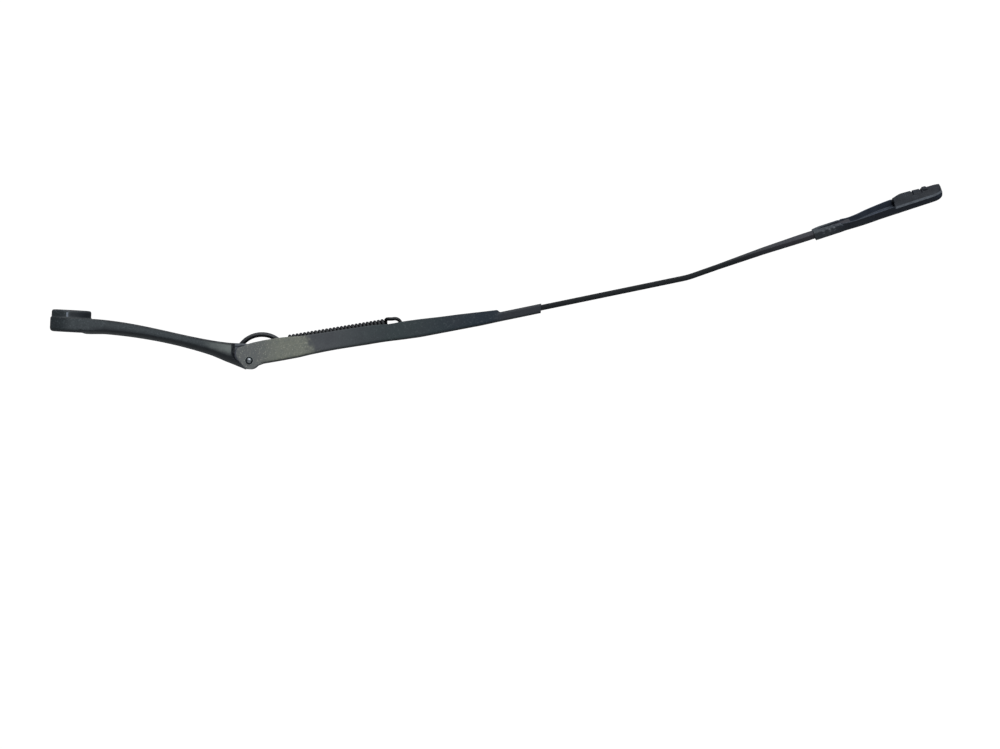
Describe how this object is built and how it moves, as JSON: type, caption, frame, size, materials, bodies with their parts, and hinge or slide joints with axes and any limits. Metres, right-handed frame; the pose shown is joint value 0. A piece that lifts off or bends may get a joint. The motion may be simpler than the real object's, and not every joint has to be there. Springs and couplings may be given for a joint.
{
  "type": "windscreen wiper arm",
  "caption": "Folding windscreen wiper arm: a cast head for a tapered spindle, a sprung pivot in a tapered pressed channel, a flat bent rod and an end with a blade connector",
  "frame": {"origin": "On the axis of the spindle hole, where the taper's small end meets the clamping hole, which is the level that the spindle's nut clamps from.", "axes": "+Z runs along the spindle towards the glass side, +X along the arm from the spindle to the blade connector, and Y across the arm. The nut is on the -Z side."},
  "size_m": [0.6459, 0.0304, 0.1615],
  "materials": {
    "cast_paint": "aluminium casting with matt black powder paint",
    "channel_paint": "pressed steel sheet with thin grey-black paint",
    "rod_paint": "flat steel rod with satin black paint",
    "spring_steel": "oiled black spring wire",
    "bare_steel": "zinc plated steel",
    "liner_plastic": "moulded acetal",
    "connector_plastic": "moulded glass-filled plastic, dark grey"
  },
  "bodies": {
    "head": {"mounting_head": "cast_paint", "pivot_bush": "bare_steel", "hook_pin": "bare_steel"},
    "arm": {"channel": "channel_paint", "pivot_rivet": "bare_steel", "liner_near": "liner_plastic", "liner_far": "liner_plastic", "rod": "rod_paint", "arm_end": "cast_paint", "blade_connector": "connector_plastic"},
    "hook": {"spring_hook": "rod_paint"},
    "spring": {"tension_spring": "spring_steel"}
  },
  "joints": [
    {"name": "arm_lift", "type": "hinge", "parent": "head", "child": "arm", "pos_m": [0.132, 0, -0.0225], "axis": [0, 1, 0], "range_deg": [0, 50], "stiffness_Nm_per_rad": 1, "springref_deg": -171.89},
    {"name": "hook_swing", "type": "hinge", "parent": "head", "child": "hook", "pos_m": [0.1225, 0, -0.0159], "axis": [0, 1, 0], "range_deg": [0, 46.2]},
    {"name": "spring_stretch", "type": "slide", "parent": "hook", "child": "spring", "axis": [0.9764, 0, 0.216], "range_m": [0, 0.0042], "deforming": ["tension_spring"]}
  ],
  "couplings": [
    {"joint": "hook_swing", "follows": "arm_lift", "ratio": 0.9169},
    {"joint": "spring_stretch", "follows": "arm_lift", "m_per_rad": 0.004621}
  ]
}
